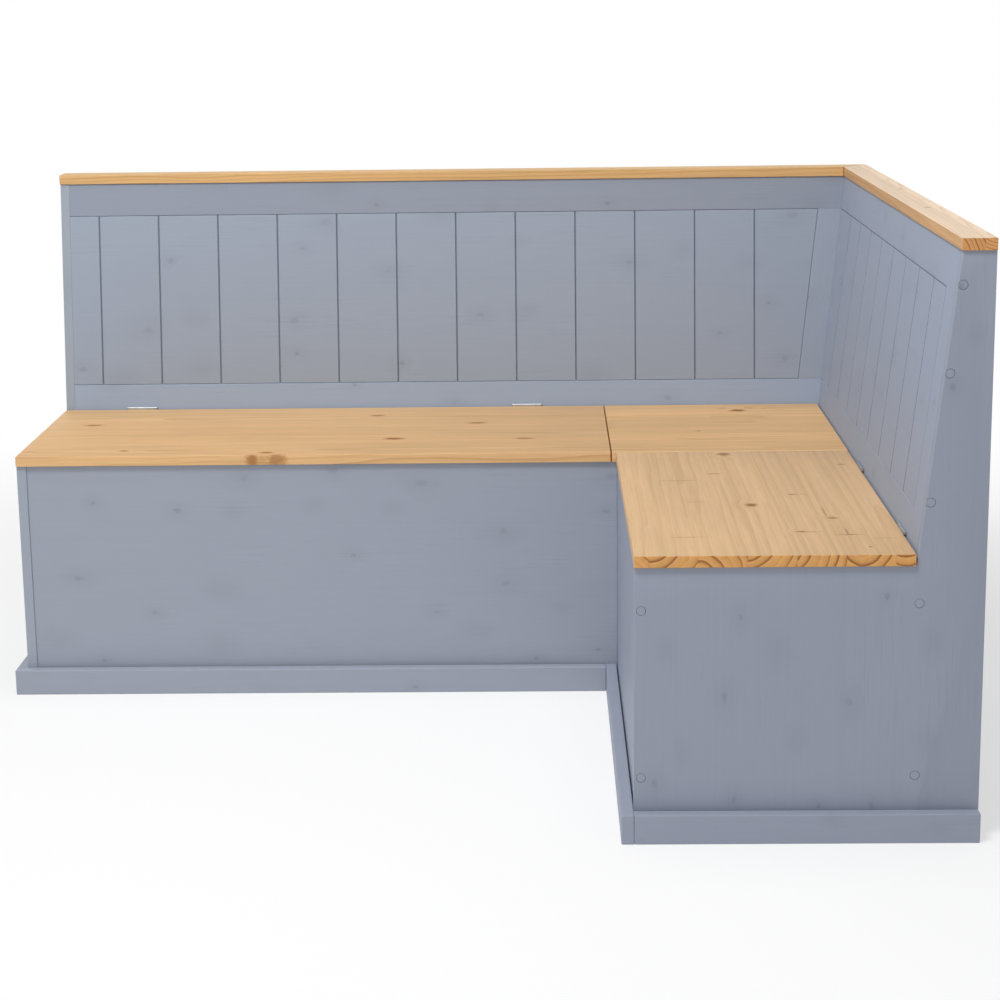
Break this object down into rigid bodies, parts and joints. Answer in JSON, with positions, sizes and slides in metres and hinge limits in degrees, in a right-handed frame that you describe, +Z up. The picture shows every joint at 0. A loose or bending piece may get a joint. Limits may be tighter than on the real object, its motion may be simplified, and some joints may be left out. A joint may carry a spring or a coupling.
{
  "type": "corner storage bench",
  "caption": "L-shaped corner bench with storage chests under hinged pine lids, painted boarded backrests and pine caps",
  "frame": {"origin": "on the floor, in the middle of the outer box of the bench", "axes": "+X to the right along the long leg, +Y away from the room to the long backrest, +Z up"},
  "size_m": [1.675, 1.27, 0.94],
  "materials": {
    "painted_pine": "matt grey-blue paint over softwood",
    "oiled_pine": "oiled pine, satin",
    "raw_pine": "planed, untreated",
    "plywood": "sanded, untreated",
    "zinc_steel": "zinc plated"
  },
  "bodies": {
    "carcass": {"corner_post": "raw_pine", "corner_rest_rear": "raw_pine", "corner_rest_side": "raw_pine", "corner_seat": "oiled_pine", "long_back_bottom_rail": "painted_pine", "long_back_corner_stile": "painted_pine", "long_back_field": "painted_pine", "long_back_panel": "painted_pine", "long_back_top_rail": "painted_pine", "long_cap": "oiled_pine", "long_end_panel": "painted_pine", "long_end_plugs": "painted_pine", "long_end_screws": "zinc_steel", "long_floor": "plywood", "long_floor_batten_front": "raw_pine", "long_floor_batten_rear": "raw_pine", "long_front_panel": "painted_pine", "long_hinge_far_frame_leaf": "zinc_steel", "long_hinge_far_pin": "zinc_steel", "long_hinge_frame_screws": "zinc_steel", "long_hinge_near_frame_leaf": "zinc_steel", "long_hinge_near_pin": "zinc_steel", "long_lid_rest": "raw_pine", "long_partition": "painted_pine", "long_plinth_front": "painted_pine", "long_plinth_side": "painted_pine", "short_back_bottom_rail": "painted_pine", "short_back_field": "painted_pine", "short_back_front_stile": "painted_pine", "short_back_panel": "painted_pine", "short_back_top_rail": "painted_pine", "short_cap": "oiled_pine", "short_end_panel": "painted_pine", "short_end_plugs": "painted_pine", "short_end_screws": "zinc_steel", "short_floor": "plywood", "short_floor_batten_front": "raw_pine", "short_floor_batten_rear": "raw_pine", "short_front_panel": "painted_pine", "short_hinge_far_frame_leaf": "zinc_steel", "short_hinge_far_pin": "zinc_steel", "short_hinge_frame_screws": "zinc_steel", "short_hinge_near_frame_leaf": "zinc_steel", "short_hinge_near_pin": "zinc_steel", "short_lid_rest": "raw_pine", "short_partition": "painted_pine", "short_plinth_end": "painted_pine", "short_plinth_side": "painted_pine"},
    "long_lid_body": {"long_lid": "oiled_pine", "long_hinge_near_lid_leaf": "zinc_steel", "long_hinge_far_lid_leaf": "zinc_steel", "long_hinge_lid_screws": "zinc_steel"},
    "short_lid_body": {"short_lid": "oiled_pine", "short_hinge_near_lid_leaf": "zinc_steel", "short_hinge_far_lid_leaf": "zinc_steel", "short_hinge_lid_screws": "zinc_steel"}
  },
  "joints": [
    {"name": "long_lid_hinge", "type": "hinge", "parent": "carcass", "child": "long_lid_body", "pos_m": [-0.2625, 0.52927, 0.463], "axis": [-1, 0, 0], "range_deg": [0, 97]},
    {"name": "short_lid_hinge", "type": "hinge", "parent": "carcass", "child": "short_lid_body", "pos_m": [0.73177, -0.26325, 0.463], "axis": [0, 1, 0], "range_deg": [0, 97]}
  ]
}
